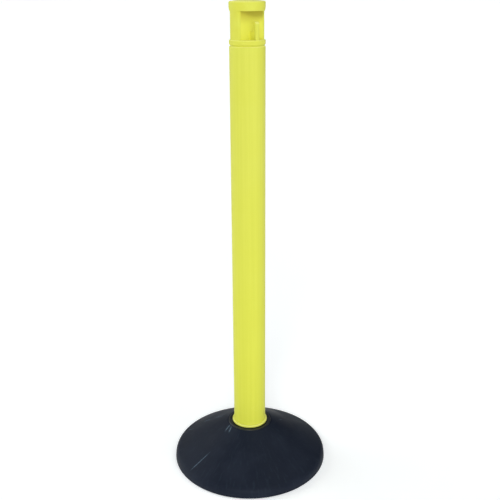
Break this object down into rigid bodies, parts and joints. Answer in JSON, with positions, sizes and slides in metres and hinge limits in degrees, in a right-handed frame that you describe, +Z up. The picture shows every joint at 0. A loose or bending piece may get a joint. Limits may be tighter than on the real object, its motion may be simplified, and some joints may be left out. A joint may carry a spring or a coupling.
{
  "type": "delineator post",
  "caption": "Free-standing round plastic post with a chain-hook cap, screwed into a weighted black cone base.",
  "frame": {"origin": "on the floor, on the post's axis", "axes": "+Z up the post; the cap's two hooks face -Y (front) and +Y (rear)"},
  "size_m": [0.3638, 0.3638, 1.0625],
  "materials": {
    "tube_yellow": "satin extruded polyethylene, safety yellow-green",
    "plug_yellow": "satin moulded plastic, safety yellow-green",
    "cap_yellow": "satin moulded plastic, safety yellow-green",
    "base_black": "semi-gloss moulded plastic, lightly scuffed",
    "socket_black": "semi-gloss moulded plastic",
    "plate_black": "matt moulded plastic",
    "cast_ballast": "rough cast cement",
    "foot_rubber": "matt soft rubber",
    "seal_rubber": "smooth rubber",
    "zinc_steel": "zinc plated"
  },
  "bodies": {
    "base": {"base_shell": "base_black", "ballast": "cast_ballast", "base_plate": "plate_black", "plate_screws": "zinc_steel", "rubber_feet": "foot_rubber", "socket_sleeve": "socket_black", "centre_bolt": "zinc_steel", "bolt_washers": "zinc_steel", "centre_nut": "zinc_steel"},
    "foot_seal": {"foot_gasket": "seal_rubber"},
    "post": {"foot_plug": "plug_yellow", "post_tube": "tube_yellow"},
    "cap_seal": {"cap_o_ring": "seal_rubber"},
    "cap": {"hook_cap": "cap_yellow", "cap_lid": "cap_yellow"}
  },
  "joints": [
    {"name": "post_rise", "type": "slide", "parent": "base", "child": "foot_seal", "axis": [0, 0, 1], "range_m": [0, 0.0241]},
    {"name": "post_turn", "type": "hinge", "parent": "foot_seal", "child": "post", "pos_m": [0, 0, 0.095], "axis": [0, 0, 1], "range_deg": [0, 1080]},
    {"name": "cap_lift", "type": "slide", "parent": "post", "child": "cap_seal", "axis": [0, 0, 1], "range_m": [0, 0.06]},
    {"name": "cap_turn", "type": "hinge", "parent": "cap_seal", "child": "cap", "pos_m": [0, 0, 0.9535], "axis": [0, 0, 1], "continuous": true}
  ],
  "couplings": [
    {"joint": "post_rise", "follows": "post_turn", "m_per_rad": 0.0012732}
  ]
}
